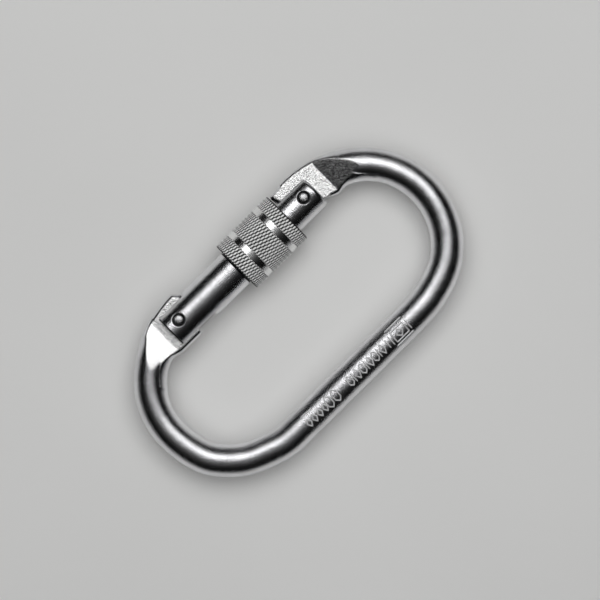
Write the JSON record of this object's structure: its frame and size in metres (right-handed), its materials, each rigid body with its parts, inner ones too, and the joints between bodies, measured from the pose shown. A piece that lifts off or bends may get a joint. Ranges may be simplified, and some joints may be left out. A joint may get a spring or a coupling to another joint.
{
  "type": "screw-gate carabiner",
  "caption": "Oval steel carabiner with a sprung gate that opens inward and a knurled sleeve that screws along the gate to lock it.",
  "frame": {"origin": "centre of the bounding box, on the carabiner's mid-plane", "axes": "+X along the carabiner from the hinge bow to the nose bow, +Y across it from the spine to the gate, +Z its thickness"},
  "size_m": [0.108, 0.0576, 0.0166],
  "materials": {
    "plated_bar": "bright plated, polished, with fine pitting",
    "barrel_steel": "bright plated, turned",
    "knurled_steel": "bright plated, knurled",
    "rivet_steel": "bright plated, peened",
    "plunger_steel": "ground",
    "spring_steel": "drawn wire"
  },
  "bodies": {
    "frame": {"frame": "plated_bar"},
    "gate": {"gate_barrel": "barrel_steel", "hinge_pin": "rivet_steel", "latch_pin": "rivet_steel", "return_spring": "spring_steel"},
    "plunger": {"plunger": "plunger_steel"},
    "friction_ring": {"friction_ring": "spring_steel"},
    "sleeve": {"locking_sleeve": "knurled_steel"}
  },
  "joints": [
    {"name": "gate_hinge", "type": "hinge", "parent": "frame", "child": "gate", "pos_m": [-0.02525, 0.02125, 0], "axis": [0, 0, -1], "range_deg": [0, 30], "stiffness_Nm_per_rad": 0.058, "springref_deg": -118.6},
    {"name": "plunger_slide", "type": "slide", "parent": "gate", "child": "plunger", "axis": [1, 0, 0], "range_m": [0, 0.0013], "deforming": ["return_spring"]},
    {"name": "sleeve_travel", "type": "slide", "parent": "gate", "child": "friction_ring", "axis": [1, 0, 0], "range_m": [0, 0.00376]},
    {"name": "sleeve_turn", "type": "hinge", "parent": "friction_ring", "child": "sleeve", "pos_m": [0.00655, 0.0205, 0], "axis": [1, 0, 0], "range_deg": [0, 1080]}
  ],
  "couplings": [
    {"joint": "plunger_slide", "follows": "gate_hinge", "m_per_rad": 0.0024},
    {"joint": "sleeve_travel", "follows": "sleeve_turn", "m_per_rad": 0.00019894}
  ]
}
